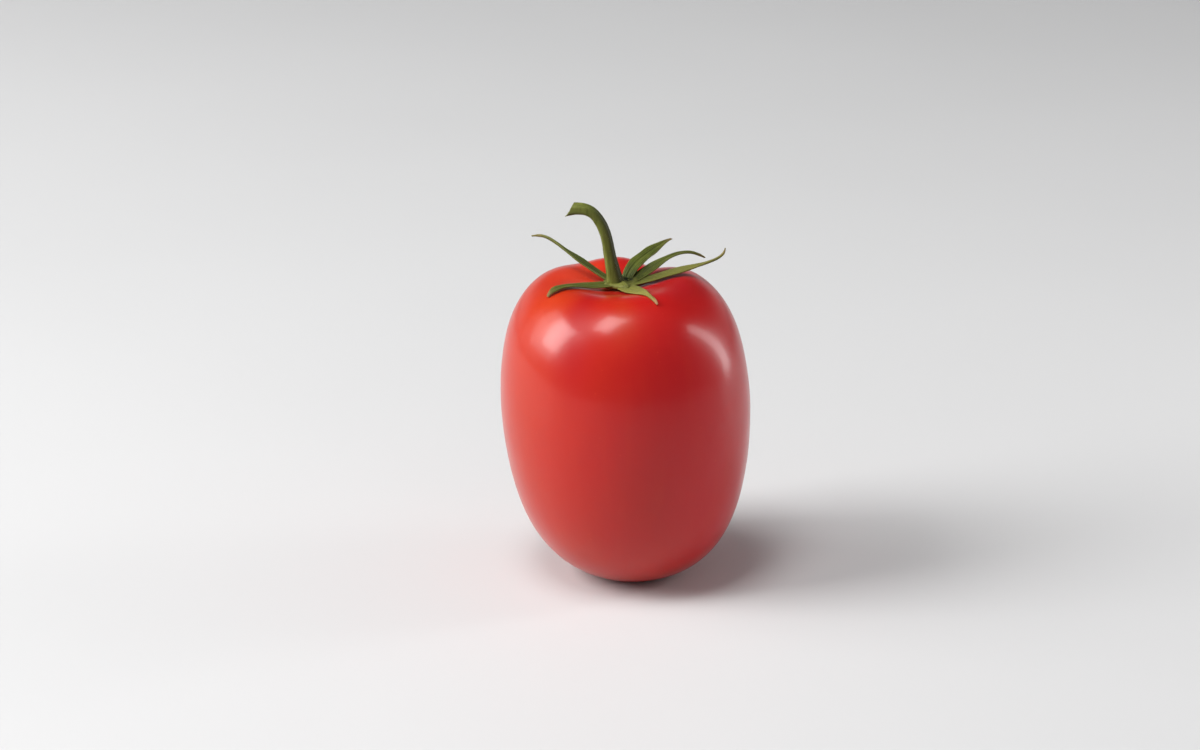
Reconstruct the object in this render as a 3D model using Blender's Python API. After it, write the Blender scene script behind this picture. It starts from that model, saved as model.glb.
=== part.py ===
"""A plum tomato as picked: the fruit, and the green calyx with its stem on top.

Run it with blender --background --python part.py, or from Blender's text editor.
Metres, +Z up. The origin is the middle of the small flat spot that the fruit stands
on, -Y is the front, and the stem's cut end points to -X.
"""

import math

import bmesh
import bpy
from mathutils import Matrix, Vector

# The fruit
FRUIT_WIDTH = 0.056
FRUIT_HEIGHT = 0.070
FRUIT_LEAN = -0.047  # sideways shift along X for each unit of height
SEAT_DEPTH = 0.0026  # how far the calyx seat lies below the top of the shoulders
REST_RADIUS = 0.0065  # the flat spot underneath

# Guide points of the outline, as shares of half the width and of the height.
# The curve runs a little inside them, from the calyx seat down to the flat spot.
SEAT_SHARE = 1 - SEAT_DEPTH / FRUIT_HEIGHT
REST_SHARE = REST_RADIUS / (FRUIT_WIDTH / 2)
OUTLINE = (
    (0.000, SEAT_SHARE),
    (0.160, SEAT_SHARE),
    (0.418, 1.006),
    (0.651, 1.002),
    (0.933, 0.880),
    (1.040, 0.600),
    (0.945, 0.265),
    (0.680, 0.060),
    (REST_SHARE + 0.130, 0.0),
    (REST_SHARE, 0.0),
)
OUTLINE_STEPS = 44
TURN_STEPS = 72

# The valleys between the lobes of the shoulders, and the wide dip of the front ones:
# direction, depth, half angle
VALLEYS = (
    (59, 0.0026, 19),
    (122, 0.0010, 20),
    (190, 0.0005, 20),
    (250, 0.0005, 14),
    (255, 0.0015, 60),
    (330, 0.0005, 20),
)
VALLEY_CREST = 0.30  # the share of the outline where they are deepest
VALLEY_RISE = 0.15  # how fast they fade towards the seat
VALLEY_RUN = 0.17  # how fast they fade down the flank
BODY_LOBES = ((2, 0.006, 45), (3, 0.004, 10))  # lobes round the belly, size, direction

# The calyx and the stem, measured from the middle of the seat
SEAT_GAP = 0.0003
DISC_RADIUS = 0.0029
DISC_THICKNESS = 0.0015
DISC_POINT = 0.0012  # how far the disc reaches out under each sepal
DISC_POINT_ANGLE = 20  # half the width of each such reach, in degrees
# Across the disc from its underside to its top: share of the reach, height
DISC_SECTION = (
    (0.30, 0.0),
    (0.65, 0.0001),
    (1.00, 0.0006),
    (0.95, 0.0011),
    (0.40, DISC_THICKNESS),
)
DISC_STEPS = 48
SEPAL_STEPS = 16
SEPAL_THICKNESS = 0.0007
SEPAL_ACROSS = (-1.0, -0.5, 0.0, 0.5, 1.0)
# Each sepal: direction, roll, fold, and guide points (run, rise, half width).
# The fold is how far the edges stand above the midrib, as a share of the width.
SEPALS = (
    (
        "back_left",
        150,
        10,
        0.22,
        (
            (0.0020, 0.0011, 0.0012),
            (0.0045, 0.0018, 0.0016),
            (0.0087, 0.0040, 0.0014),
            (0.0133, 0.0065, 0.0010),
            (0.0175, 0.0090, 0.0006),
            (0.0203, 0.0098, 0.0004),
            (0.0228, 0.0089, 0.0003),
        ),
    ),
    (
        "front_left",
        208,
        -6,
        0.08,
        (
            (0.0020, 0.0012, 0.0014),
            (0.0050, 0.0015, 0.0016),
            (0.0095, 0.0025, 0.0013),
            (0.0135, 0.0031, 0.0012),
            (0.0162, 0.0029, 0.0011),
            (0.0177, 0.0023, 0.0006),
            (0.0184, 0.0012, 0.0004),
        ),
    ),
    (
        "front_right",
        298,
        4,
        0.08,
        (
            (0.0018, 0.0011, 0.0018),
            (0.0045, 0.0013, 0.0024),
            (0.0085, 0.0023, 0.0021),
            (0.0125, 0.0030, 0.0013),
            (0.0148, 0.0029, 0.0008),
            (0.0164, 0.0024, 0.0005),
            (0.0173, 0.0019, 0.0004),
        ),
    ),
    (
        "right",
        4,
        -8,
        0.12,
        (
            (0.0020, 0.0010, 0.0013),
            (0.0052, 0.0015, 0.0017),
            (0.0110, 0.0034, 0.0014),
            (0.0167, 0.0046, 0.0009),
            (0.0205, 0.0058, 0.0005),
            (0.0236, 0.0073, 0.0003),
            (0.0237, 0.0088, 0.0003),
        ),
    ),
    (
        "back_right",
        30,
        -6,
        0.18,
        (
            (0.0020, 0.0010, 0.0012),
            (0.0050, 0.0018, 0.0015),
            (0.0094, 0.0039, 0.0014),
            (0.0139, 0.0059, 0.0010),
            (0.0180, 0.0060, 0.0005),
            (0.0205, 0.0049, 0.0003),
            (0.0222, 0.0036, 0.0003),
        ),
    ),
    (
        "back",
        56,
        8,
        0.20,
        (
            (0.0018, 0.0012, 0.0012),
            (0.0034, 0.0028, 0.0015),
            (0.0065, 0.0042, 0.0018),
            (0.0112, 0.0050, 0.0015),
            (0.0162, 0.0057, 0.0010),
            (0.0192, 0.0061, 0.0005),
            (0.0212, 0.0060, 0.0003),
        ),
    ),
)

# Guide points of the stem's middle line, each with its radius: x, y, z, radius
STEM = (
    (-0.0005, 0.0000, 0.0012, 0.0022),
    (-0.0009, 0.0000, 0.0024, 0.0019),
    (-0.0016, 0.0001, 0.0048, 0.0015),
    (-0.0024, 0.0002, 0.0085, 0.0013),
    (-0.0030, 0.0004, 0.0123, 0.0012),
    (-0.0044, 0.0005, 0.0157, 0.0012),
    (-0.0070, 0.0005, 0.0188, 0.0013),
    (-0.0097, 0.0001, 0.0187, 0.0013),
    (-0.0109, -0.0002, 0.0185, 0.0014),
)
STEM_STEPS = 30
STEM_SIDES = 16
STEM_CUT = -0.65  # the slant of the broken end: below zero, its lower side is the longer one
STEM_CUT_START = 0.9  # the share of the stem where the rings begin to slant
EDGE_ANGLE = 50  # edges of the green top sharper than this are shaded as edges

SKIN_RED = (0.62, 0.025, 0.012, 1.0)
LEAF_GREEN = (0.12, 0.19, 0.035, 1.0)


def clear_scene():
    for obj in list(bpy.data.objects):
        bpy.data.objects.remove(obj)


def spline_point(guides, share):
    """The point at a share, 0 to 1, of the smooth curve that the guide points pull."""
    spans = len(guides) - 3
    knots = [0] * 3 + list(range(spans + 1)) + [spans] * 3
    place = share * spans
    first = min(int(place), spans - 1)
    near = [Vector(point) for point in guides[first : first + 4]]
    for level in (1, 2, 3):
        for i in range(3, level - 1, -1):
            low = knots[first + i]
            high = knots[first + i + 4 - level]
            near[i] = near[i - 1].lerp(near[i], (place - low) / (high - low))
    return near[3]


def spline_heading(guides, share, step=0.002):
    """The direction in which that curve runs."""
    ahead = spline_point(guides, min(share + step, 1))
    behind = spline_point(guides, max(share - step, 0))
    return (ahead - behind).normalized()


def valley_depth(turn):
    """How deep the valleys between the shoulders are in this direction."""
    depth = 0
    for azimuth, deepest, spread in VALLEYS:
        away = (turn - azimuth + 180) % 360 - 180
        depth += deepest * math.exp(-((away / spread) ** 2))
    return depth


def fruit_point(turn, share):
    """A point of the skin: turn goes round in degrees, share goes down the outline."""
    radius, height = spline_point(OUTLINE, share)
    across, down = spline_heading(OUTLINE, share)
    reach = VALLEY_RISE if share < VALLEY_CREST else VALLEY_RUN
    fade = math.exp(-(((share - VALLEY_CREST) / reach) ** 2))
    dip = valley_depth(turn) * fade
    radius = radius * FRUIT_WIDTH / 2 + down * dip
    height = height * FRUIT_HEIGHT - across * dip
    for count, size, azimuth in BODY_LOBES:
        belly = math.sin(math.pi * share) ** 2
        radius *= 1 + size * belly * math.cos(math.radians(count * (turn - azimuth)))
    angle = math.radians(turn)
    x = radius * math.cos(angle) + FRUIT_LEAN * height
    return Vector((x, radius * math.sin(angle), height))


def seat_middle():
    height = SEAT_SHARE * FRUIT_HEIGHT
    return Vector((FRUIT_LEAN * height, 0, height))


def closed_tube(name, rings):
    """A solid through rings of points, with flat ends."""
    bm = bmesh.new()
    loops = [[bm.verts.new(point) for point in ring] for ring in rings]
    count = len(loops[0])
    for low, high in zip(loops, loops[1:]):
        for i in range(count):
            j = (i + 1) % count
            bm.faces.new((low[i], low[j], high[j], high[i]))
    bm.faces.new(reversed(loops[0]))
    bm.faces.new(loops[-1])
    bmesh.ops.recalc_face_normals(bm, faces=bm.faces)
    mesh = bpy.data.meshes.new(name)
    bm.to_mesh(mesh)
    bm.free()
    mesh.shade_smooth()
    return bpy.data.objects.new(name, mesh)


def material(name, colour, roughness):
    made = bpy.data.materials.new(name)
    made.use_nodes = True
    shader = made.node_tree.nodes["Principled BSDF"]
    shader.inputs["Base Color"].default_value = colour
    shader.inputs["Roughness"].default_value = roughness
    shader.inputs["Metallic"].default_value = 0.0
    return made


def build_fruit():
    turns = [360 * i / TURN_STEPS for i in range(TURN_STEPS)]
    shares = [(i + 1) / (OUTLINE_STEPS + 1) for i in range(OUTLINE_STEPS)] + [1.0]
    fruit = closed_tube("fruit", [[fruit_point(t, s) for t in turns] for s in shares])
    fruit.data.materials.append(material("ripe_skin", SKIN_RED, 0.25))
    bpy.context.scene.collection.objects.link(fruit)
    return fruit


def disc_reach(turn):
    """The disc's radius in this direction: it reaches out under each sepal."""
    reach = DISC_RADIUS
    for _, azimuth, _, _, _ in SEPALS:
        away = (turn - azimuth + 180) % 360 - 180
        reach += DISC_POINT * math.exp(-((away / DISC_POINT_ANGLE) ** 2))
    return reach


def build_disc():
    """The thick green disc that the stem and the sepals grow from."""
    turns = [360 * i / DISC_STEPS for i in range(DISC_STEPS)]
    rings = []
    for share, height in DISC_SECTION:
        ring = []
        for turn in turns:
            radius = share * disc_reach(turn)
            x = radius * math.cos(math.radians(turn))
            y = radius * math.sin(math.radians(turn))
            ring.append(Vector((x, y, height + SEAT_GAP)))
        rings.append(ring)
    return closed_tube("disc", rings)


def build_sepal(name, azimuth, roll, fold, guides):
    """One pointed leaf, folded along its midrib, on a curve in an upright plane."""
    angle = math.radians(azimuth)
    outward = Vector((math.cos(angle), math.sin(angle), 0))
    level = Vector((-math.sin(angle), math.cos(angle), 0))
    rings = []
    for i in range(SEPAL_STEPS + 1):
        share = i / SEPAL_STEPS
        run, rise, half = spline_point(guides, share)
        along_run, along_rise, _ = spline_heading(guides, share)
        heading = (outward * along_run + Vector((0, 0, along_rise))).normalized()
        side = Matrix.Rotation(math.radians(roll), 3, heading) @ level
        up = heading.cross(side)
        middle = outward * run + Vector((0, 0, rise))
        top = []
        bottom = []
        for across in SEPAL_ACROSS:
            point = middle + side * across * half + up * abs(across) * half * 2 * fold
            top.append(point + up * SEPAL_THICKNESS / 2)
            bottom.append(point - up * SEPAL_THICKNESS / 2)
        rings.append(top + bottom[::-1])
    return closed_tube(name, rings)


def build_stem():
    """The curved stem, flared at its foot, its broken end slanting back at the top."""
    rings = []
    across = Vector((0, -1, 0))
    for i in range(STEM_STEPS + 1):
        share = i / STEM_STEPS
        point = spline_point(STEM, share)
        heading = spline_heading(STEM, share).to_3d().normalized()
        side = (across - heading * across.dot(heading)).normalized()
        up = heading.cross(side)
        radius = point[3]
        slant = STEM_CUT * max(0, share - STEM_CUT_START) / (1 - STEM_CUT_START)
        ring = []
        for k in range(STEM_SIDES):
            angle = 2 * math.pi * k / STEM_SIDES
            out = side * math.cos(angle) + up * math.sin(angle)
            ring.append(point.to_3d() + out * radius + heading * slant * radius * math.sin(angle))
        rings.append(ring)
    return closed_tube("stem", rings)


def build_green_top():
    """The disc, the sepals and the stem, which grew as one piece, joined into one solid."""
    grown = bpy.data.collections.new("grown")
    bpy.context.scene.collection.children.link(grown)
    grown.objects.link(build_stem())
    for name, azimuth, roll, fold, guides in SEPALS:
        grown.objects.link(build_sepal(name, azimuth, roll, fold, guides))
    top = build_disc()
    bpy.context.scene.collection.objects.link(top)
    union = top.modifiers.new("union", "BOOLEAN")
    union.operation = "UNION"
    union.operand_type = "COLLECTION"
    union.collection = grown
    union.solver = "EXACT"
    graph = bpy.context.evaluated_depsgraph_get()
    mesh = bpy.data.meshes.new_from_object(top.evaluated_get(graph))
    top.modifiers.remove(union)
    top.data = mesh
    for obj in list(grown.objects):
        bpy.data.objects.remove(obj)
    bpy.data.collections.remove(grown)
    top.name = mesh.name = "calyx_and_stem"
    top.location = seat_middle()
    mesh.shade_smooth()
    mesh.set_sharp_from_angle(angle=math.radians(EDGE_ANGLE))
    mesh.materials.clear()
    mesh.materials.append(material("green_leaf", LEAF_GREEN, 0.55))
    return top


def main():
    clear_scene()
    build_fruit()
    build_green_top()


main()
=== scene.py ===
# A plum tomato with its calyx and stem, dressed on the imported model

import math

import bmesh
import bpy
from mathutils import Matrix, Vector, noise
from mathutils.bvhtree import BVHTree


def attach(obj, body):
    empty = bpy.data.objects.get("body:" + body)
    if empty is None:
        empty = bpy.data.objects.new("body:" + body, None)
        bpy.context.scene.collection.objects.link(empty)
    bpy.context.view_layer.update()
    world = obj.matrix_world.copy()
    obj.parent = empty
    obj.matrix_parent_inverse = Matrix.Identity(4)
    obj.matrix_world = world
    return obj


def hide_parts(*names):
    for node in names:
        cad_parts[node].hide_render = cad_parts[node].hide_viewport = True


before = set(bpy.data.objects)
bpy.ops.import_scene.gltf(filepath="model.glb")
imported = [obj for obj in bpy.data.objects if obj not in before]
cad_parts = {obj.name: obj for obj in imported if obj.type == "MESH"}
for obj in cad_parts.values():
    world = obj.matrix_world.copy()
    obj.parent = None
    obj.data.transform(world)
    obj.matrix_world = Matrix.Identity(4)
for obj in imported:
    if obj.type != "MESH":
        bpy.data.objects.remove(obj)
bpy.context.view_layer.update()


# ---- node helpers

class Value:
    # one socket, wrapped so that maths on it reads as plain Python
    def __init__(self, socket):
        self.socket = socket

    def node(self, kind, settings, sockets):  # one more node in the same tree
        return Nodes(self.socket.id_data).add(kind, settings, sockets)

    def maths(self, operation, *values):
        return self.node("ShaderNodeMath", {"operation": operation}, dict(enumerate(values)))

    def __add__(self, other): return self.maths("ADD", self, other)
    def __radd__(self, other): return self.maths("ADD", other, self)
    def __sub__(self, other): return self.maths("SUBTRACT", self, other)
    def __rsub__(self, other): return self.maths("SUBTRACT", other, self)
    def __mul__(self, other): return self.maths("MULTIPLY", self, other)
    def __rmul__(self, other): return self.maths("MULTIPLY", other, self)
    def __truediv__(self, other): return self.maths("DIVIDE", self, other)
    def __rtruediv__(self, other): return self.maths("DIVIDE", other, self)
    def __pow__(self, other): return self.maths("POWER", self, other)
    def __rpow__(self, other): return self.maths("POWER", other, self)
    def sin(self): return self.maths("SINE", self)
    def cos(self): return self.maths("COSINE", self)
    def round(self): return self.maths("ROUND", self)
    def wrapped(self, low, high): return self.maths("WRAP", self, high, low)
    def most(self, other): return self.maths("MAXIMUM", self, other)

    def bell(self, width):  # 1 at zero, fading to both sides
        return self.maths("EXPONENT", (self / width) ** 2 * -1.0)

    def ramp(self, low, high):  # 0 at low, 1 at high, smooth between, either way up
        span = self.node("ShaderNodeMapRange", {"interpolation_type": "SMOOTHSTEP"}, {
            "Value": self, "From Min": min(low, high), "From Max": max(low, high),
        })
        return span if low < high else 1.0 - span


class Nodes:
    # adds nodes to a tree: the type, its settings, then the values or links of its sockets
    def __init__(self, tree):
        self.tree = tree

    def add(self, kind, settings=None, sockets=None, out=0):
        node = self.tree.nodes.new(kind)
        for name, value in (settings or {}).items():
            setattr(node, name, value)
        for name, value in (sockets or {}).items():
            socket = self.findSocket(node.inputs, name)
            if isinstance(value, Value):
                self.tree.links.new(value.socket, socket)
            else:
                socket.default_value = value
        if out is None or not len(node.outputs):
            return [Value(socket) for socket in node.outputs]
        return Value(self.findSocket(node.outputs, out))

    def findSocket(self, sockets, name):  # by place, else by identifier, else by name
        if isinstance(name, int):
            return sockets[name]
        for socket in sockets:
            if name == socket.identifier:
                return socket
        return sockets[name]

    def blend(self, factor, first, second):  # mixes two colours
        sockets = {"Factor_Float": factor, "A_Color": first, "B_Color": second}
        return self.add("ShaderNodeMix", {"data_type": "RGBA"}, sockets, "Result_Color")

    def layered(self, colour, layers):  # lays each tone over the colour where its mask is
        for mask, tone in layers:
            colour = self.blend(mask, colour, tone)
        return colour

    def noise(self, place, scale, detail=2.0, roughness=0.5):
        sockets = {"Vector": place, "Scale": scale, "Detail": detail, "Roughness": roughness}
        return self.add("ShaderNodeTexNoise", None, sockets)

    def streaks(self, place, across, along, detail=2.0, roughness=0.5):  # noise drawn out along Z
        long = self.vectors("MULTIPLY", place, (across, across, along))
        return self.noise(long, 1.0, detail, roughness)

    def bump(self, strength, distance, height):
        sockets = {"Strength": strength, "Distance": distance, "Height": height}
        return self.add("ShaderNodeBump", None, sockets)

    def attribute(self, name):  # what a mesh carries, for a material
        return self.add("ShaderNodeAttribute", {"attribute_name": name}, None, "Fac")

    def stored(self, name, kind="FLOAT"):  # what a geometry carries, for a tree that makes shapes
        return self.add("GeometryNodeInputNamedAttribute", {"data_type": kind}, {"Name": name})

    def position(self):
        return self.add("GeometryNodeInputPosition")

    def parts(self, vector):  # x, y and z of a vector
        return self.add("ShaderNodeSeparateXYZ", None, {0: vector}, None)

    def vector(self, x, y, z):
        return self.add("ShaderNodeCombineXYZ", None, {0: x, 1: y, 2: z})

    def vectors(self, operation, first, second, out=0):
        sockets = {0: first, 1: second}
        return self.add("ShaderNodeVectorMath", {"operation": operation}, sockets, out)

    def scaled(self, vector, size):
        return self.add("ShaderNodeVectorMath", {"operation": "SCALE"}, {0: vector, "Scale": size})


weldDistance = 1e-6           # points this close together become one


def newTool(title, sizes):
    # an empty Geometry Nodes tree with named inputs
    tree = bpy.data.node_groups.new(title, "GeometryNodeTree")
    face = tree.interface
    face.new_socket("Geometry", in_out="INPUT", socket_type="NodeSocketGeometry")
    for name, value in sizes.items():
        kind = "NodeSocketInt" if isinstance(value, int) else "NodeSocketFloat"
        face.new_socket(name, in_out="INPUT", socket_type=kind)
    face.new_socket("Material", in_out="INPUT", socket_type="NodeSocketMaterial")
    face.new_socket("Geometry", in_out="OUTPUT", socket_type="NodeSocketGeometry")
    nodes = Nodes(tree)
    group = nodes.add("NodeGroupInput", out=None)
    inputs = {value.socket.name: value for value in group if value.socket.name}
    return nodes, inputs


def smoothShell(nodes, geometry):
    sockets = {"Geometry": geometry, "Distance": weldDistance}
    welded = nodes.add("GeometryNodeMergeByDistance", None, sockets)
    return nodes.add("GeometryNodeSetShadeSmooth", None, {"Geometry": welded})


def endTool(nodes, inputs, geometry):
    real = nodes.add("GeometryNodeRealizeInstances", None, {"Geometry": geometry})
    sockets = {"Geometry": real, "Material": inputs["Material"]}
    painted = nodes.add("GeometryNodeSetMaterial", None, sockets)
    nodes.add("NodeGroupOutput", None, {"Geometry": painted})


def runTool(name, source, nodes, sizes, material):
    # runs the tree on the source object and keeps the result as a plain mesh
    modifier = source.modifiers.new(name, "NODES")
    modifier.node_group = nodes.tree
    values = dict(sizes, Material=material)
    for item in nodes.tree.interface.items_tree:
        if item.in_out == "INPUT" and item.name in values:
            modifier[item.identifier] = values[item.name]
    graph = bpy.context.evaluated_depsgraph_get()
    mesh = bpy.data.meshes.new_from_object(source.evaluated_get(graph), depsgraph=graph)
    source.modifiers.remove(modifier)
    bpy.data.objects.remove(source)
    mesh.name = name
    mesh.materials.clear()
    mesh.materials.append(material)
    return linked(name, mesh)


def linked(name, data):
    obj = bpy.data.objects.new(name, data)
    bpy.context.scene.collection.objects.link(obj)
    return obj


def addAttribute(mesh, name, values):
    layer = mesh.attributes.new(name, "FLOAT", "POINT")
    layer.data.foreach_set("value", values)


# ---- curves: the smooth one that guide points pull, as in the part, and a bell

def splinePoint(guides, share):
    spans = len(guides) - 3
    knots = [0] * 3 + list(range(spans + 1)) + [spans] * 3
    place = share * spans
    first = min(int(place), spans - 1)
    near = [Vector(point) for point in guides[first : first + 4]]
    for level in (1, 2, 3):
        for i in range(3, level - 1, -1):
            low = knots[first + i]
            high = knots[first + i + 4 - level]
            near[i] = near[i - 1].lerp(near[i], (place - low) / (high - low))
    return near[3]


def splineHeading(guides, share, step=0.002):
    ahead = splinePoint(guides, min(share + step, 1))
    behind = splinePoint(guides, max(share - step, 0))
    return (ahead - behind).normalized()


def bell(distance, width):
    return math.exp(-((distance / width) ** 2))


# ---- materials

def newMaterial(name):
    material = bpy.data.materials.new(name)
    material.use_nodes = True
    material.node_tree.nodes.clear()
    nodes = Nodes(material.node_tree)
    place = nodes.add("ShaderNodeTexCoord", None, None, "Object")
    return material, nodes, place


def finishMaterial(nodes, sockets):
    shader = nodes.add("ShaderNodeBsdfPrincipled", None, sockets)
    nodes.add("ShaderNodeOutputMaterial", None, {"Surface": shader})


# ---- the fruit

fruit = {
    "width": 0.056,
    "height": 0.070,
    "lean": -0.047,           # sideways shift along X for each unit of height
    "seatDepth": 0.0026,      # the calyx seat lies this far below the shoulders
    "restRadius": 0.0065,     # the flat spot underneath
    "around": 256,
    "rings": 190,
    "flatRings": 8,           # those of them that lie inside the flat spot
    "valleys": (              # direction, depth, half angle
        (59, 0.0026, 19),
        (122, 0.0010, 20),
        (190, 0.0005, 20),
        (247, 0.00012, 9),
        (255, 0.0015, 60),
        (330, 0.0005, 20),
    ),
    "valleyCrest": 0.30,      # share of the outline where the valleys are deepest
    "valleyRise": 0.15,       # how fast they fade towards the seat
    "valleyRun": 0.17,        # and down the side
    "lobes": ((2, 0.006, 45), (3, 0.004, 10)),  # count, share of the radius, direction
    "unevenness": 0.00014,    # slow bumps of the skin
    "creases": 0.00004,       # fine creases that run in to the calyx
    "creaseCount": 13.0,
    "scarDepth": 0.00025,     # the blossom scar, a dimple under the fruit
    "scarRadius": 0.0013,
    "roughness": 0.285,       # the lamps' reflections turn blotchy below this
    "fleckScale": 620.0,
    "shoulderRadius": 0.0185,
    "highlightGlowBands": (          # painted glow around the highlights: direction, half angle, strength
        (-140, 20.0, 1.0),
        (-88, 9.0, 0.8),
        (150, 30.0, 0.5),
    ),
    # a crimson band of tone and painted shade down the valley between the lobes: direction, half
    # angle
    "crimsonAndShadeBand": (-117, 11.0),
    # painted shade on the right shoulder: direction, half angle
    "deepBand": (-15, 42.0),
    "tones": {
        "ripe": (0.515, 0.0040, 0.0070, 1),
        # painted light: the orange of the lit left side
        "litSideOrange": (0.440, 0.0210, 0.0042, 1),
        "streak": (0.570, 0.0350, 0.0075, 1),
        # painted glow of the highlights on the shoulders
        "highlightGlow": (0.500, 0.0420, 0.0060, 1),
        # painted light in the hollow beside the stem
        "paintedHollowShading": (0.820, 0.0480, 0.0110, 1),
        # painted shade for the right shoulder
        "deep": (0.340, 0.0030, 0.0070, 1),
        # a deeper crimson, partly painted shade, for the valley between the lobes
        "crimsonAndShade": (0.380, 0.0040, 0.0080, 1),
        "cork": (0.30, 0.15, 0.035, 1),
        "fleck": (0.780, 0.110, 0.030, 1),
        "halo": (0.70, 0.075, 0.018, 1),
        "scar": (0.18, 0.075, 0.022, 1),
    },
}
seatShare = 1 - fruit["seatDepth"] / fruit["height"]
restShare = fruit["restRadius"] / (fruit["width"] / 2)
outlineGuides = (             # share of half the width, share of the height
    (0.000, seatShare),
    (0.160, seatShare),
    (0.418, 1.006),
    (0.651, 1.002),
    (0.933, 0.880),
    (1.040, 0.600),
    (0.945, 0.265),
    (0.680, 0.060),
    (restShare + 0.130, 0.0),
    (restShare, 0.0),
)
seatHeight = seatShare * fruit["height"]
seat = Vector((fruit["lean"] * seatHeight, 0, seatHeight))


def makeSkinMaterial(name):
    material, nodes, place = newMaterial(name)
    tones = fruit["tones"]
    x, y, z = nodes.parts(place)
    aside = x - fruit["lean"] * z
    reach = (aside * aside + y * y) ** 0.5      # distance from the fruit's axis
    high = z / fruit["height"]
    slow = nodes.noise(place, 30.0)
    streak = nodes.streaks(place, 360.0, 30.0)
    turn = y.maths("ARCTAN2", y, aside) * math.degrees(1)
    wavy = turn + (slow - 0.5) * 16.0

    def band(direction, spread):  # bright along one direction from the axis
        return (wavy - direction).bell(spread)

    # crimson on the shaded right side and more orange on the lit left, painted light and shade, in
    # slow patches
    patch = (slow * 0.7 + 0.10 + aside * -17.0).ramp(0.10, 0.95)
    # painted glow of the highlights: the lit shoulders a little more orange, most of all at the
    # front left, in bands that run down beside a crimson one
    glowBands = 0.0
    for direction, spread, strength in fruit["highlightGlowBands"]:
        glowBands = band(direction, spread) * strength + glowBands
    shoulder = (reach - fruit["shoulderRadius"]).bell(0.0060) * high.ramp(0.82, 0.92)
    # a deeper crimson tone with painted shade down the valley between the lobes on the shoulder
    crimsonAndShade = band(*fruit["crimsonAndShadeBand"]) * high.ramp(0.62, 0.90) * reach.ramp(0.0050, 0.0120)
    # painted light, brighter in the hollow beside the stem; painted shade, deeper on the right
    # shoulder
    paintedHollowShading = reach.ramp(0.0180, 0.0090) * high.ramp(0.86, 0.95) * y.ramp(-0.0060, 0.0020)
    paintedHollowShading = paintedHollowShading * aside.ramp(0.0010, -0.0080)
    deep = band(*fruit["deepBand"]) * high.ramp(0.94, 1.00) * reach.ramp(0.0040, 0.0090)
    # the skin is corky only under the calyx
    ragged = reach + (nodes.noise(place, 900.0, 2.0, 0.6) - 0.5) * 0.0010
    cork = ragged.ramp(0.0034, 0.0020) * high.ramp(0.86, 0.95)
    # pale flecks, finer than a grain of salt
    dots = nodes.add("ShaderNodeTexVoronoi", None, {"Vector": place, "Scale": fruit["fleckScale"]})
    fleck = dots.ramp(0.16, 0.05) * nodes.noise(place, 120.0, 1.0).ramp(0.48, 0.72)
    # the blossom end underneath, a scar in an orange halo
    low = high.ramp(0.10, 0.02)
    halo = reach.ramp(0.0090, 0.0020) * low
    scar = ragged.ramp(0.0017, 0.0011) * low

    colour = nodes.layered(nodes.blend(patch, tones["ripe"], tones["litSideOrange"]), (
        (streak.ramp(0.45, 0.80) * 0.10, tones["streak"]),
        (shoulder * (glowBands * 0.50 + 0.06), tones["highlightGlow"]),
        (paintedHollowShading * 0.90, tones["paintedHollowShading"]),
        (deep * 0.75, tones["deep"]),
        (crimsonAndShade * 0.70, tones["crimsonAndShade"]),
        (cork, tones["cork"]),
        (fleck * 0.16, tones["fleck"]),
        (halo * 0.5, tones["halo"]),
        (scar, tones["scar"]),
    ))
    rough = fruit["roughness"] + nodes.noise(place, 90.0) * 0.03 + fleck * 0.06 + scar * 0.4
    pores = nodes.noise(place, 2300.0)
    finishMaterial(nodes, {
        "Base Color": colour,
        "Roughness": rough,
        "Normal": nodes.bump(0.06, 0.0004, pores * 0.10 + streak * 0.10),
        "IOR": 1.36,
        "Subsurface Weight": 0.10,
        "Subsurface Radius": (0.0030, 0.0007, 0.0004),
        "Subsurface Scale": 1.0,
        "Coat Weight": 0.38,
        "Coat Roughness": 0.15,
        "Coat IOR": 1.38,
    })
    return material


def makeOutline():
    # the outline from the seat down to the middle of the underside, with what its rings need
    points = []
    flatRings = fruit["flatRings"]
    steps = fruit["rings"] - flatRings - 1
    for i in range(steps + 1):
        share = i / steps
        radius, height = splinePoint(outlineGuides, share)
        across, down = splineHeading(outlineGuides, share)
        reach = fruit["valleyRise"] if share < fruit["valleyCrest"] else fruit["valleyRun"]
        points.append({
            "place": (radius * fruit["width"] / 2, 0, height * fruit["height"]),
            "outward": (-down, 0, across),
            "fade": bell(share - fruit["valleyCrest"], reach),
            "belly": math.sin(math.pi * share) ** 2,
        })
    for i in range(1, flatRings + 1):
        radius = fruit["restRadius"] * (1 - i / flatRings)
        points.append({
            "place": (radius, 0, fruit["scarDepth"] * bell(radius, fruit["scarRadius"])),
            "outward": (0, 0, -1),
            "fade": 0.0,
            "belly": 0.0,
        })
    edges = [(i, i + 1) for i in range(len(points) - 1)]
    mesh = bpy.data.meshes.new("outline")
    mesh.from_pydata([point["place"] for point in points], edges, [])
    for name in ("fade", "belly"):
        addAttribute(mesh, name, [point[name] for point in points])
    layer = mesh.attributes.new("outward", "FLOAT_VECTOR", "POINT")
    layer.data.foreach_set("vector", [number for point in points for number in point["outward"]])
    return linked("outline", mesh)


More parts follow.
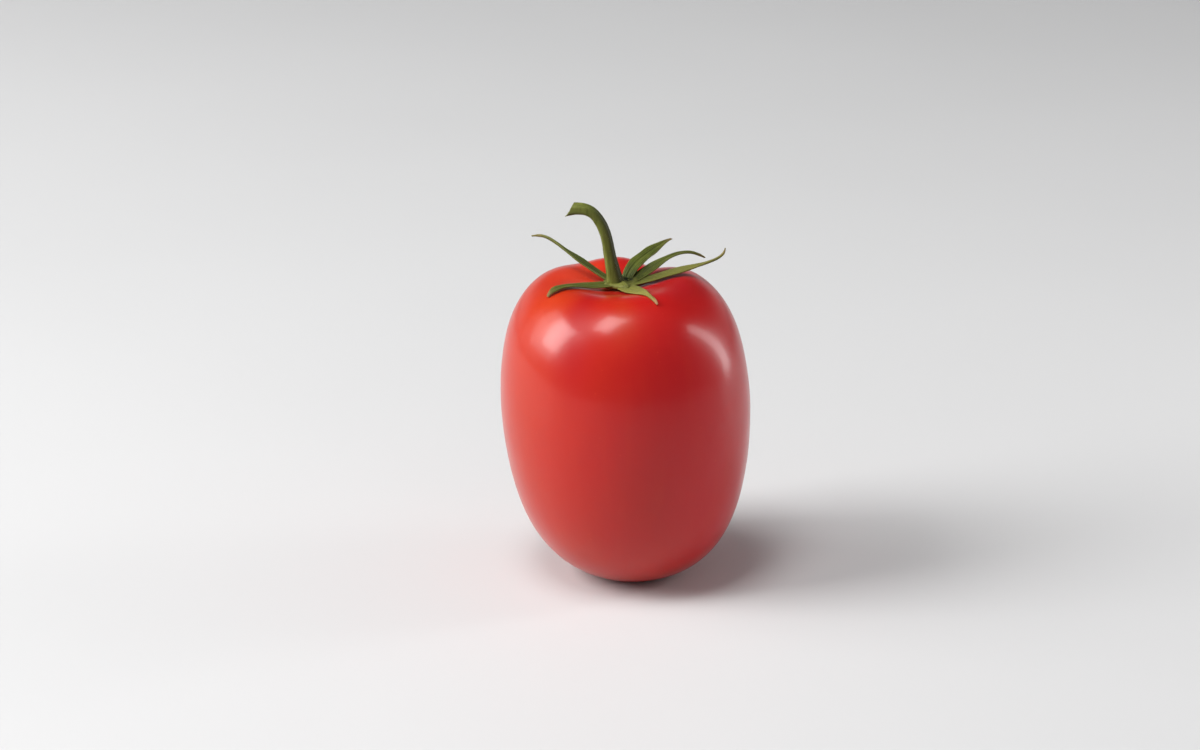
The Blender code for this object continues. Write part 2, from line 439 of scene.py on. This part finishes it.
def makeFruit(name):
    sizes = {
        "Rings": fruit["rings"],
        "Around": fruit["around"],
        "Lean": fruit["lean"],
        "Unevenness": fruit["unevenness"],
        "Creases": fruit["creases"],
    }
    nodes, inputs = newTool("spin the fruit", sizes)
    sheet = nodes.add("GeometryNodeMeshGrid", None, {
        "Size X": 1.0, "Size Y": 1.0,
        "Vertices X": inputs["Around"], "Vertices Y": inputs["Rings"],
    })
    x, y, _ = nodes.parts(nodes.position())
    turn = (0.5 - x) * 360.0
    row = ((y + 0.5) * (inputs["Rings"] - 1.0)).round()

    def fromOutline(kind, field):  # what the outline has at this row of the sheet
        sockets = {"Geometry": inputs["Geometry"], "Value": field, "Index": row}
        return nodes.add("GeometryNodeSampleIndex", {"data_type": kind, "domain": "POINT"}, sockets)

    spot = fromOutline("FLOAT_VECTOR", nodes.position())
    outward = fromOutline("FLOAT_VECTOR", nodes.stored("outward", "FLOAT_VECTOR"))
    fade = fromOutline("FLOAT", nodes.stored("fade"))
    belly = fromOutline("FLOAT", nodes.stored("belly"))

    depth = 0.0
    for azimuth, deepest, spread in fruit["valleys"]:
        depth = (turn - azimuth).wrapped(-180.0, 180.0).bell(spread) * deepest + depth
    reach, _, _ = nodes.parts(spot)
    dip = depth * fade * reach.ramp(0.0, 0.0030)  # none at the pole, so that it closes
    radius, _, height = nodes.parts(nodes.vectors("SUBTRACT", spot, nodes.scaled(outward, dip)))
    for count, size, azimuth in fruit["lobes"]:
        radius = radius * (1.0 + belly * size * ((turn - azimuth) * math.radians(count)).cos())

    angle = turn * math.radians(1)
    ring = nodes.vector(angle.cos() * radius, angle.sin() * radius, height)
    slow = nodes.noise(ring, 62.0, 1.5, 0.45) - 0.5
    finer = nodes.noise(ring, 190.0, 1.0, 0.4) - 0.5
    calm = height.ramp(0.0, 0.010) * radius.ramp(0.0, 0.006)
    swell = (slow * 2.0 + finer * 0.35) * inputs["Unevenness"] * calm
    # creases that run in to the calyx, none at the pole and none past the shoulders
    wander = nodes.noise(ring, 300.0, 1.0) * 9.0
    crease = (angle * fruit["creaseCount"] + wander).sin() * inputs["Creases"]
    crease = crease * radius.ramp(0.0005, 0.0030) * radius.ramp(0.0115, 0.0045)
    crease = crease * height.ramp(0.055, 0.060)
    moveOut, _, moveUp = nodes.parts(nodes.scaled(outward, swell + crease))
    radius = radius + moveOut
    height = height + moveUp
    shifted = angle.cos() * radius + height * inputs["Lean"]
    shape = nodes.add("GeometryNodeSetPosition", None, {
        "Geometry": sheet,
        "Position": nodes.vector(shifted, angle.sin() * radius, height),
    })
    endTool(nodes, inputs, smoothShell(nodes, shape))
    skin = runTool(name, makeOutline(), nodes, sizes, makeSkinMaterial("ripe skin"))
    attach(skin, "root")
    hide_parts("fruit")
    return skin


# ---- the calyx

leaves = {
    "seatGap": 0.0003,
    "discRadius": 0.0029,
    "discPoint": 0.0012,     # how far the disc reaches out under each sepal
    "discAngle": 20,         # half angle of that point
    "discRidge": 0.00028,    # rise of the ridge that runs out to each sepal
    "discRidgeAngle": 9,
    "discGrain": 0.00012,    # small bumps of its upper side
    "discSides": 96,
    "discSteps": 5,          # rings from one point of the section to the next
    "discSection": (         # share of the reach, height above the underside
        (0.00, 0.0001), (0.30, 0.0), (0.65, 0.0001), (0.90, 0.0003), (1.00, 0.0006),
        (0.98, 0.0010), (0.88, 0.0013), (0.62, 0.0015), (0.36, 0.0017), (0.00, 0.0018),
    ),
    "discBumps": (           # direction, distance out, size, rise, painted shade
        (45, 0.0026, 0.0010, -0.0003, 2.2),    # the nook beside the stem, painted dark as shade
        (8, 0.0016, 0.0013, -0.0007, 0.0),
        (18, 0.0038, 0.0007, 0.0003, 0.0),
    ),
    "discYellow": 0.3,
    "along": 72,
    "across": 16,
    "clearance": 0.00006,    # no sepal comes closer to the skin than this
    "midrib": 0.00060,       # thickness at the midrib and at the edges
    "edge": 0.00024,
    "groove": 0.00010,       # the furrow over the midrib, and its share of the half width
    "grooveWidth": 0.16,
    "ruffle": 0.00016,       # the slow wave of the edges
    "wobble": 0.05,          # how much the width comes and goes
    "twistStart": 0.45,      # share of the length where the twist sets in
    "veins": 0.000035,
    # roll, fold, twist and wave shape a sepal; settle is how much closer to the skin it lies
    # than in the solids; the guide points are run, rise and half width
    "sepals": {
        "sepal_back_left": {
            "direction": 150, "roll": 10, "fold": 0.22, "twist": 50, "wave": 0.3,
            "settle": 0.0, "dryness": 0.18, "yellowing": 0.10,
            "guides": (
                (0.0020, 0.0011, 0.0012), (0.0045, 0.0018, 0.0016), (0.0087, 0.0038, 0.0014),
                (0.0133, 0.0062, 0.0010), (0.0175, 0.0086, 0.0006), (0.0203, 0.0094, 0.0004),
                (0.0228, 0.0086, 0.0003),
            ),
        },
        "sepal_front_left": {
            "direction": 208, "roll": -6, "fold": 0.08, "twist": -10, "wave": 1.9,
            "settle": 0.00030, "dryness": 0.30, "yellowing": 0.15,
            "guides": (
                (0.0020, 0.0012, 0.0014), (0.0050, 0.0015, 0.0016), (0.0095, 0.0025, 0.0012),
                (0.0135, 0.0030, 0.0010), (0.0160, 0.0028, 0.0008), (0.0175, 0.0021, 0.0005),
                (0.0181, 0.0012, 0.0003),
            ),
        },
        "sepal_front_right": {
            "direction": 298, "roll": 4, "fold": 0.08, "twist": 8, "wave": 4.1,
            "settle": 0.00030, "dryness": 0.85, "yellowing": 0.85,
            "guides": (
                (0.0024, 0.0009, 0.0019), (0.0048, 0.0013, 0.0023), (0.0085, 0.0020, 0.0017),
                (0.0122, 0.0025, 0.0008), (0.0146, 0.0026, 0.0004), (0.0164, 0.0023, 0.0003),
                (0.0173, 0.0017, 0.0002),
            ),
        },
        "sepal_right": {
            "direction": 7, "roll": 6, "fold": 0.12, "twist": -60, "wave": 2.6,
            "settle": 0.00030, "dryness": 0.22, "yellowing": 0.50,
            "guides": (
                (0.0020, 0.0010, 0.0016), (0.0052, 0.0015, 0.0019), (0.0110, 0.0034, 0.0014),
                (0.0167, 0.0046, 0.0009), (0.0205, 0.0057, 0.0005), (0.0236, 0.0072, 0.0003),
                (0.0237, 0.0088, 0.0003),
            ),
        },
        "sepal_back_right": {
            "direction": 30, "roll": 4, "fold": 0.18, "twist": -45, "wave": 5.2,
            "settle": 0.0, "dryness": 0.20, "yellowing": 0.10,
            "guides": (
                (0.0030, 0.0011, 0.0015), (0.0052, 0.0018, 0.0018), (0.0094, 0.0038, 0.0014),
                (0.0139, 0.0057, 0.0010), (0.0180, 0.0058, 0.0005), (0.0205, 0.0048, 0.0003),
                (0.0222, 0.0036, 0.0003),
            ),
        },
        "sepal_back": {
            "direction": 56, "roll": 8, "fold": 0.20, "twist": 10, "wave": 0.9,
            "settle": 0.0, "dryness": 0.30, "yellowing": 0.05,
            "guides": (
                (0.0030, 0.0014, 0.0012), (0.0040, 0.0028, 0.0015), (0.0067, 0.0042, 0.0018),
                (0.0112, 0.0050, 0.0015), (0.0162, 0.0057, 0.0010), (0.0192, 0.0061, 0.0005),
                (0.0212, 0.0060, 0.0003),
            ),
        },
    },
    "tones": {
        "dark": (0.042, 0.060, 0.004, 1),
        "light": (0.082, 0.102, 0.009, 1),
        "yellow": (0.300, 0.262, 0.058, 1),
        "edge": (0.210, 0.215, 0.045, 1),
        "midrib": (0.160, 0.180, 0.035, 1),
        "under": (0.130, 0.150, 0.035, 1),
        "vein": (0.180, 0.195, 0.038, 1),
        "drying": (0.200, 0.135, 0.035, 1),
        "dry": (0.460, 0.230, 0.120, 1),
        # painted shade, near black, for the nook beside the stem
        "paintedHollowShading": (0.010, 0.014, 0.003, 1),
    },
}


def makeLeafMaterial(name):
    material, nodes, place = newMaterial(name)
    tones = leaves["tones"]
    along = nodes.attribute("along")
    side = nodes.attribute("side")          # 0 at the midrib, 1 at the edges
    dry = nodes.attribute("dry")
    under = nodes.attribute("under")        # 1 on the lower side
    yellow = nodes.attribute("yellow")
    paintedHollowShading = nodes.attribute("paintedHollowShading")      # painted shade in the nook beside the stem
    patch = nodes.noise(place, 260.0, 3.0, 0.6)
    vein = ((side * 3.0 * math.tau) + along * 4.0).cos()
    fibre = nodes.noise(place, 1500.0, 2.0, 0.6)
    ragged = along + (nodes.noise(place, 700.0, 2.0, 0.6) - 0.5) * 0.14
    base = nodes.blend(patch.ramp(0.30, 0.72), tones["dark"], tones["light"])
    colour = nodes.layered(base, (
        (yellow * 0.80, tones["yellow"]),
        (side.ramp(0.80, 1.0) * 0.35, tones["edge"]),
        (side.ramp(0.14, 0.0) * 0.25, tones["midrib"]),
        (under * 0.20, tones["under"]),
        (vein.ramp(0.2, 1.0) * 0.10, tones["vein"]),
        # the tips dry out and turn tan, darker just before
        (ragged.ramp(0.50, 0.85) * dry * 0.35, tones["drying"]),
        (ragged.ramp(0.82, 0.97) * dry, tones["dry"]),
        # painted shade in the nook beside the stem
        (paintedHollowShading, tones["paintedHollowShading"]),
    ))
    finishMaterial(nodes, {
        "Base Color": colour,
        "Roughness": 0.54 + patch * 0.14,
        "Normal": nodes.bump(0.35, 0.0002, vein * 0.35 + fibre * 0.5),
        "IOR": 1.33,
        "Subsurface Weight": 0.08,
        "Subsurface Radius": (0.0006, 0.0010, 0.0002),
        "Subsurface Scale": 1.0,
        "Sheen Weight": 0.04,
        "Sheen Roughness": 0.4,
    })
    return material


def closedMesh(name, rings, marks):
    # a closed skin through rings of points, one point at a ring that has only one
    bm = bmesh.new()
    loops = [[bm.verts.new(point) for point in ring] for ring in rings]
    for low, high in zip(loops, loops[1:]):
        count = max(len(low), len(high))
        for i in range(count):
            j = (i + 1) % count
            if len(low) == 1:
                bm.faces.new((low[0], high[j], high[i]))
            elif len(high) == 1:
                bm.faces.new((low[i], low[j], high[0]))
            else:
                bm.faces.new((low[i], low[j], high[j], high[i]))
    for loop in (loops[0], loops[-1]):
        if len(loop) > 1:
            bm.faces.new(loop)
    bmesh.ops.recalc_face_normals(bm, faces=bm.faces)
    mesh = bpy.data.meshes.new(name)
    bm.to_mesh(mesh)
    bm.free()
    mesh.shade_smooth()
    for key in marks[0][0]:
        addAttribute(mesh, key, [point[key] for ring in marks for point in ring])
    return mesh


def skinBelow(point, skinTree):
    # how high the skin stands under this point
    hit = skinTree.ray_cast(Vector((point.x, point.y, 1.0)), Vector((0, 0, -1)))
    return hit[0].z if hit[0] else -1.0


def makeSepalMesh(name, skinTree):
    sepal = leaves["sepals"][name]
    wave = sepal["wave"]
    angle = math.radians(sepal["direction"])
    outward = Vector((math.cos(angle), math.sin(angle), 0))
    level = Vector((-math.sin(angle), math.cos(angle), 0))
    shares = [-1 + 2 * i / leaves["across"] for i in range(leaves["across"] + 1)]
    offs = [abs(share) for share in shares]
    rings = []
    marks = []
    for i in range(leaves["along"] + 1):
        along = i / leaves["along"]
        run, rise, half = splinePoint(sepal["guides"], along)
        alongRun, alongRise, _ = splineHeading(sepal["guides"], along)
        heading = (outward * alongRun + Vector((0, 0, alongRise))).normalized()
        twist = sepal["twist"] * max(0, along - leaves["twistStart"]) ** 1.5
        side = Matrix.Rotation(math.radians(sepal["roll"] + twist), 3, heading) @ level
        up = heading.cross(side)
        height = rise - sepal["settle"] * min(1, 6 * along)
        middle = seat + outward * run + Vector((0, 0, height))
        half *= 1 + leaves["wobble"] * math.sin(19 * along + wave * 3) * min(1, 4 * along)
        taper = min(1, (1 - along) * 9 + 0.35)  # thinner towards the tip
        top = []
        bottom = []
        for share, off in zip(shares, offs):
            lift = off * half * 2 * sepal["fold"] * (1 - 0.35 * off)
            swing = math.sin(9 * along + wave + 1.3 * share)
            lift += leaves["ruffle"] * off ** 2 * swing * min(1, 3 * along) * taper
            vein = leaves["veins"] * math.cos(3 * math.tau * off + 4 * along) * (1 - off)
            thick = leaves["edge"] + (leaves["midrib"] - leaves["edge"]) * (1 - off ** 1.5)
            thick *= taper
            centre = middle + side * share * half + up * lift
            groove = leaves["groove"] * bell(share, leaves["grooveWidth"])
            over = centre + up * (thick / 2 + vein - groove * taper)
            below = centre - up * (thick / 2 + vein)
            # the skin pushes up what would cut into it
            sunk = skinBelow(below, skinTree) + leaves["clearance"] - below.z
            push = Vector((0, 0, max(0, sunk)))
            top.append(over + push)
            bottom.append(below + push)
        rings.append(top + bottom[::-1])
        yellow = sepal["yellowing"] * (0.45 + 0.55 * min(1, 2.2 * along))
        marks.append([
            {
                "along": along, "side": off, "dry": sepal["dryness"],
                "under": under, "yellow": yellow, "paintedHollowShading": 0.0,
            }
            for offList, under in ((offs, 0.0), (offs[::-1], 1.0))
            for off in offList
        ])
    return closedMesh(name, rings, marks)


def makeDiscMesh(name):
    sides = leaves["discSides"]
    steps = leaves["discSteps"]
    turns = [360 * i / sides for i in range(sides)]

    def reachAt(turn):
        reach = leaves["discRadius"]
        ridge = 0.0
        for sepal in leaves["sepals"].values():
            away = (turn - sepal["direction"] + 180) % 360 - 180
            reach += leaves["discPoint"] * bell(away, leaves["discAngle"])
            ridge += bell(away, leaves["discRidgeAngle"])
        return reach, ridge

    # the section, with points added between the given ones
    corners = leaves["discSection"]
    section = [corners[0]]
    for (share, height), (nextShare, nextHeight) in zip(corners, corners[1:]):
        for i in range(1, steps + 1):
            section.append((
                share + (nextShare - share) * i / steps,
                height + (nextHeight - height) * i / steps,
            ))
    rings = []
    marks = []
    for share, height in section:
        ring = []
        ringMarks = []
        for turn in turns if share else turns[:1]:
            reach, ridge = reachAt(turn)
            top = min(1, max(0, (height - 0.0008) / 0.0003))  # 1 on the upper side
            radius = share * reach
            x = radius * math.cos(math.radians(turn))
            y = radius * math.sin(math.radians(turn))
            lift = noise.noise(Vector((x, y, height)) * 900) * leaves["discGrain"]
            lift += ridge * leaves["discRidge"] * share * (1.2 - share) * 3
            # painted shade, strongest in the nook beside the stem
            nookShade = 0.0
            for azimuth, out, size, rise, nookShadeAmount in leaves["discBumps"]:
                a = math.radians(azimuth)
                near = bell(math.hypot(x - out * math.cos(a), y - out * math.sin(a)), size)
                lift += rise * near
                nookShade = max(nookShade, nookShadeAmount * near)
            ring.append(seat + Vector((x, y, height + lift * top + leaves["seatGap"])))
            ringMarks.append({
                "along": 0.0, "side": 1 - min(1, ridge), "dry": 0.0,
                "under": 1 - top, "yellow": leaves["discYellow"], "paintedHollowShading": min(1, nookShade) * top,
            })
        rings.append(ring)
        marks.append(ringMarks)
    return closedMesh(name, rings, marks)


def joinMeshes(name, meshes, material):
    bm = bmesh.new()
    for mesh in meshes:
        bm.from_mesh(mesh)
    joined = bpy.data.meshes.new(name)
    bm.to_mesh(joined)
    bm.free()
    for mesh in meshes:
        bpy.data.meshes.remove(mesh)
    joined.materials.clear()
    joined.materials.append(material)
    return linked(name, joined)


def makeCalyx(name, skin, material):
    points = [vertex.co for vertex in skin.data.vertices]
    faces = [face.vertices[:] for face in skin.data.polygons]
    skinTree = BVHTree.FromPolygons(points, faces)
    meshes = [makeSepalMesh(key, skinTree) for key in leaves["sepals"]]
    meshes.append(makeDiscMesh("disc"))
    calyx = joinMeshes(name, meshes, material)
    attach(calyx, "root")
    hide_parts("calyx_and_stem")
    return calyx


# ---- the stem

stem = {
    "guides": (              # x, y, z from the seat, radius
        (-0.0010, 0.0000, 0.0012, 0.0020),
        (-0.0012, 0.0000, 0.0024, 0.0018),
        (-0.0017, 0.0001, 0.0048, 0.0015),
        (-0.0024, 0.0002, 0.0085, 0.0013),
        (-0.0030, 0.0004, 0.0123, 0.0012),
        (-0.0044, 0.0005, 0.0156, 0.0012),
        (-0.0069, 0.0006, 0.0185, 0.0013),
        (-0.0097, 0.0008, 0.0183, 0.0013),
        (-0.0110, 0.0011, 0.0180, 0.0014),
    ),
    "rings": 110,
    "sides": 48,
    "ridges": 5,
    "ridgeDepth": 0.075,     # share of the radius
    "flatness": 0.04,        # share of the radius that makes it a little oval
    "cut": -0.85,            # slant of the broken end, the lower side is the longer one
    "cutStart": 0.9,
    "beak": 0.0006,          # the lower lip of the broken end reaches out this much further
    "chips": 0.0006,         # raggedness of the broken end
    "bumps": 0.00012,
    "capStep": 0.00002,      # from one ring of the closed ends to the next
    "capShares": (0.97, 0.88, 0.72, 0.52, 0.30, 0.12, 0.0),  # their share of the radius
    "tones": {
        "dark": (0.096, 0.113, 0.014, 1),
        "light": (0.168, 0.190, 0.032, 1),
        "patch": (0.070, 0.060, 0.014, 1),
        "foot": (0.175, 0.205, 0.036, 1),
        "end": (0.120, 0.120, 0.028, 1),
        # painted shade for the right and lower side
        "flank": (0.026, 0.026, 0.005, 1),
        "torn": (0.170, 0.175, 0.050, 1),
    },
}


def makeStemMaterial(name):
    material, nodes, place = newMaterial(name)
    tones = stem["tones"]
    along = nodes.attribute("along")
    torn = nodes.attribute("torn")
    flank = nodes.attribute("flank")        # 1 on the side facing right and down, which gets painted shade
    streak = nodes.streaks(place, 1500.0, 190.0, 3.0, 0.6)
    patch = nodes.noise(place, 240.0, 3.0, 0.6)
    pits = nodes.noise(place, 1700.0, 2.0, 0.6)
    base = nodes.blend(streak.ramp(0.34, 0.70), tones["dark"], tones["light"])
    colour = nodes.layered(base, (
        (patch.ramp(0.50, 0.75) * 0.30, tones["patch"]),
        (along.ramp(0.16, 0.0) * 0.40, tones["foot"]),
        (along.ramp(0.86, 0.99) * 0.30, tones["end"]),
        # painted shade darkens the right and lower side
        ((flank + (streak - 0.5) * 0.5).ramp(-0.35, 0.55) * 0.88, tones["flank"]),
        (torn, tones["torn"]),
    ))
    finishMaterial(nodes, {
        "Base Color": colour,
        "Roughness": 0.54 + patch * 0.12 + torn * 0.2,
        "Normal": nodes.bump(0.4, 0.0002, streak * 0.8 + pits * 0.5),
        "IOR": 1.33,
        "Sheen Weight": 0.04,
        "Sheen Roughness": 0.4,
    })
    return material


def makeStemPath():
    # the middle line as a curve whose radius follows the guides, closed at both ends
    points = []
    for i in range(stem["rings"] + 1):
        point = splinePoint(stem["guides"], i / stem["rings"])
        points.append((point.to_3d(), point[3]))
    start = (points[1][0] - points[0][0]).normalized()
    end = (points[-1][0] - points[-2][0]).normalized()
    points.insert(0, (points[0][0] - start * stem["capStep"], 0.0))
    last, radius = points[-1]
    for step, share in enumerate(stem["capShares"]):
        points.append((last + end * stem["capStep"] * (step + 1), radius * share))
    curve = bpy.data.curves.new("stem path", "CURVE")
    curve.dimensions = "3D"
    spline = curve.splines.new("POLY")
    spline.points.add(len(points) - 1)
    for target, (place, radius) in zip(spline.points, points):
        target.co = (*(seat + place), 1)
        target.radius = radius
    return linked("stem path", curve)


def makeStem(name, material):
    sizes = {
        "Sides": stem["sides"],
        "Ridges": float(stem["ridges"]),
        "Ridge Depth": stem["ridgeDepth"],
        "Cut": stem["cut"],
        "Beak": stem["beak"],
        "Bumps": stem["bumps"],
    }
    nodes, inputs = newTool("grow the stem", sizes)
    factor = nodes.add("GeometryNodeSplineParameter")
    middle = nodes.position()

    def store(geometry, title, kind, value):
        settings = {"data_type": kind, "domain": "POINT"}
        sockets = {"Geometry": geometry, "Name": title, "Value": value}
        return nodes.add("GeometryNodeStoreNamedAttribute", settings, sockets)

    path = store(inputs["Geometry"], "along", "FLOAT", factor)
    path = store(path, "middle", "FLOAT_VECTOR", middle)
    path = store(path, "heading", "FLOAT_VECTOR", nodes.add("GeometryNodeInputTangent"))

    # the cross section, ribbed and a little oval, follows the path
    circle = nodes.add("GeometryNodeCurvePrimitiveCircle", {"mode": "RADIUS"},
                       {"Resolution": inputs["Sides"], "Radius": 1.0})
    turn = factor * math.tau
    ridge = (turn * inputs["Ridges"]).cos() * inputs["Ridge Depth"]
    ridge = ridge + (turn * 2.0 + 0.7).cos() * stem["flatness"] + 1.0
    sockets = {"Geometry": circle, "Position": nodes.scaled(middle, ridge)}
    circle = nodes.add("GeometryNodeSetPosition", None, sockets)
    tube = nodes.add("GeometryNodeCurveToMesh", None, {
        "Curve": path, "Profile Curve": circle, "Scale": nodes.add("GeometryNodeInputRadius"),
    })

    # the broken end slants and is chipped, and small bumps swell the rest
    here = nodes.position()
    heading = nodes.stored("heading", "FLOAT_VECTOR")
    along = nodes.stored("along")
    off = nodes.vectors("SUBTRACT", here, nodes.stored("middle", "FLOAT_VECTOR"))
    upward = nodes.vectors("CROSS_PRODUCT", heading, (0.0, -1.0, 0.0))
    height = nodes.vectors("DOT_PRODUCT", off, upward, "Value")
    width = nodes.add("ShaderNodeVectorMath", {"operation": "LENGTH"}, {0: off}, "Value")
    endRadius = stem["guides"][-1][3]
    beak = (height * (-1 / endRadius)).most(0.0) ** 3 * inputs["Beak"]
    nearEnd = ((along - stem["cutStart"]) / (1 - stem["cutStart"])).most(0.0)
    slant = (height * inputs["Cut"] + beak) * nearEnd
    torn = along.ramp(0.985, 0.992) * width.ramp(0.00150, 0.00125)
    chipped = (nodes.noise(here, 1800.0, 3.0, 0.6) - 0.6) * torn * stem["chips"]
    move = nodes.scaled(heading, slant + chipped)
    lump = (nodes.noise(here, 330.0) - 0.5) * 2.0 * inputs["Bumps"]
    outward = nodes.add("ShaderNodeVectorMath", {"operation": "NORMALIZE"}, {0: off})
    move = nodes.vectors("ADD", move, nodes.scaled(outward, lump * width.ramp(0.0, 0.0009)))
    tube = store(tube, "torn", "FLOAT", torn)
    tube = store(tube, "outward", "FLOAT_VECTOR", outward)
    tube = nodes.add("GeometryNodeSetPosition", None, {"Geometry": tube, "Offset": move})
    # painted shade: how much the surface faces right and down
    facing = nodes.stored("outward", "FLOAT_VECTOR")
    flank = nodes.vectors("DOT_PRODUCT", facing, (0.9, 0.0, -0.5), "Value")
    tube = store(tube, "flank", "FLOAT", flank)
    endTool(nodes, inputs, smoothShell(nodes, tube))
    piece = runTool(name, makeStemPath(), nodes, sizes, material)
    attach(piece, "root")
    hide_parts("calyx_and_stem")
    return piece


# ---- fine hairs on the green top

hairs = {
    "stem": {"Density": 1.6e6, "Length": 0.00038, "Thickness": 0.000016, "Seed": 7},
    "calyx": {"Density": 0.6e6, "Length": 0.00022, "Thickness": 0.000014, "Seed": 11},
    "lean": 0.5,             # the most that a hair leans over, in radians
    "turn": 6.28,            # and turns round
    "shortest": 0.45,        # share of the length
    "tones": ((0.24, 0.27, 0.10, 1), (0.42, 0.44, 0.22, 1)),
}


def makeHairMaterial(name):
    material, nodes, place = newMaterial(name)
    tone = nodes.noise(place, 500.0, 1.0)
    colour = nodes.blend(tone.ramp(0.3, 0.7), *hairs["tones"])
    finishMaterial(nodes, {"Base Color": colour, "Roughness": 0.5 + tone * 0.1})
    return material


def makeHairs(name, host, sizes, material):
    nodes, inputs = newTool(name, sizes)
    scatter = nodes.add("GeometryNodeDistributePointsOnFaces", {"distribute_method": "RANDOM"}, {
        "Mesh": inputs["Geometry"], "Density": inputs["Density"], "Seed": inputs["Seed"],
    }, None)
    points, rotation = scatter[0], scatter[2]
    hair = nodes.add("GeometryNodeMeshCone", None, {
        "Vertices": 3, "Side Segments": 1, "Radius Top": 0.0,
        "Radius Bottom": inputs["Thickness"], "Depth": inputs["Length"],
    })
    lean = hairs["lean"]
    tilt = nodes.add("FunctionNodeRandomValue", {"data_type": "FLOAT_VECTOR"}, {
        0: (-lean, -lean, 0.0), 1: (lean, lean, hairs["turn"]), "Seed": inputs["Seed"],
    })
    size = nodes.add("FunctionNodeRandomValue", {"data_type": "FLOAT"}, {
        2: hairs["shortest"], 3: 1.0, "Seed": inputs["Seed"] + 1,
    }, 1)
    tilted = nodes.add("FunctionNodeEulerToRotation", None, {0: tilt})
    sockets = {0: rotation, 1: tilted}
    turned = nodes.add("FunctionNodeRotateRotation", {"rotation_space": "LOCAL"}, sockets)
    grown = nodes.add("GeometryNodeInstanceOnPoints", None, {
        "Points": points, "Instance": hair,
        "Rotation": turned, "Scale": nodes.vector(size, size, size),
    })
    endTool(nodes, inputs, grown)
    piece = runTool(name, linked(name + " host", host.data.copy()), nodes, sizes, material)
    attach(piece, "root")
    return piece


# ---- stage

stage = {
    "floorSize": 8.0,
    "floorTones": ((0.62, 0.62, 0.62, 1), (0.65, 0.65, 0.65, 1)),
    "frontTone": (0.245, 0.245, 0.25, 1),      # the world's four tones
    "darkTone": (0.08, 0.08, 0.085, 1),
    "backTone": (0.60, 0.60, 0.60, 1),
    "rightTone": (0.38, 0.38, 0.38, 1),
    "cameraPlace": (-0.00758, -0.70587, 0.30373),
    "cameraElevation": 20,
    "lens": 100,
    "lampAim": (0, 0, 0.045),
    # direction round the fruit (0 is the camera's side, + to the right), elevation, distance,
    # width, height, tilt, watts
    "softboxes": {
        "key_core": (-77, 35, 1.30, 0.54, 0.80, 0, 13.5),
        "key_halo": (-88, 32, 1.32, 0.92, 1.05, 0, 8.5),
        "key_wide": (-105, 18, 1.34, 0.90, 0.80, 0, 1.4),
        "top_left": (-40, 73, 1.30, 0.38, 0.56, 0, 7.8),
        "strip_right": (104.5, 14, 0.60, 0.088, 0.54, 27, 1.06),
    },
}


def makeFloorMaterial(name):
    material, nodes, place = newMaterial(name)
    speck = nodes.noise(place, 6.0, 3.0)
    colour = nodes.blend(speck, *stage["floorTones"])
    finishMaterial(nodes, {"Base Color": colour, "Roughness": 0.55 + speck * 0.1})
    return material


def makeFloor():
    half = stage["floorSize"] / 2
    corners = [(-half, -half, 0), (half, -half, 0), (half, half, 0), (-half, half, 0)]
    mesh = bpy.data.meshes.new("floor")
    mesh.from_pydata(corners, [], [(0, 1, 2, 3)])
    mesh.materials.append(makeFloorMaterial("pale floor"))
    floor = linked("floor", mesh)


def makeSoftbox(name, azimuth, elevation, distance, width, height, tilt, watts):
    light = bpy.data.lights.new(name, "AREA")
    light.shape = "RECTANGLE"
    light.size = width
    light.size_y = height
    light.energy = watts
    lamp = linked(name, light)
    a, e = math.radians(azimuth), math.radians(elevation)
    away = Vector((math.sin(a) * math.cos(e), -math.cos(a) * math.cos(e), math.sin(e)))
    lamp.location = Vector(stage["lampAim"]) + away * distance
    facing = away.to_track_quat("Z", "Y").to_matrix()
    lamp.rotation_euler = (facing @ Matrix.Rotation(math.radians(tilt), 3, "Z")).to_euler()
    lamp.visible_camera = False


def makeWorld():
    world = bpy.data.worlds.new("studio")
    world.use_nodes = True
    world.node_tree.nodes.clear()
    nodes = Nodes(world.node_tree)
    x, y, z = nodes.parts(nodes.add("ShaderNodeTexCoord", None, None, "Generated"))
    # bright low behind and on the right, dim in front and above, darkest high behind
    dark = y.ramp(-0.2, 0.5) * z.ramp(0.12, 0.32)
    back = y.ramp(0.35, 0.95) * z.ramp(0.35, 0.08)
    right = x.ramp(0.30, 0.90) * y.ramp(-0.55, 0.10) * z.ramp(0.50, 0.10)
    colour = nodes.layered(stage["frontTone"], (
        (dark, stage["darkTone"]),
        (back, stage["backTone"]),
        (right, stage["rightTone"]),
    ))
    shader = nodes.add("ShaderNodeBackground", None, {"Color": colour, "Strength": 1.0})
    nodes.add("ShaderNodeOutputWorld", None, {"Surface": shader})
    bpy.context.scene.world = world


def makeCamera():
    data = bpy.data.cameras.new("camera")
    data.lens = stage["lens"]
    data.sensor_width = 36
    data.clip_start = 0.01
    camera = linked("camera", data)
    camera.location = stage["cameraPlace"]
    camera.rotation_euler = (math.radians(90 - stage["cameraElevation"]), 0, 0)
    bpy.context.scene.camera = camera


makeCamera()
makeFloor()
makeWorld()
for name, setting in stage["softboxes"].items():
    makeSoftbox(name, *setting)
bpy.context.scene.view_settings.view_transform = "Standard"
print("stage ready")

skin = makeFruit("fruit_skin")
print("fruit done")

calyx = makeCalyx("calyx", skin, makeLeafMaterial("calyx leaf"))
print("calyx done")

stalk = makeStem("stem", makeStemMaterial("stem bark"))
print("stem done")

hairMaterial = makeHairMaterial("fine hair")
makeHairs("stem_hairs", stalk, hairs["stem"], hairMaterial)
makeHairs("calyx_hairs", calyx, hairs["calyx"], hairMaterial)
print("hairs done")
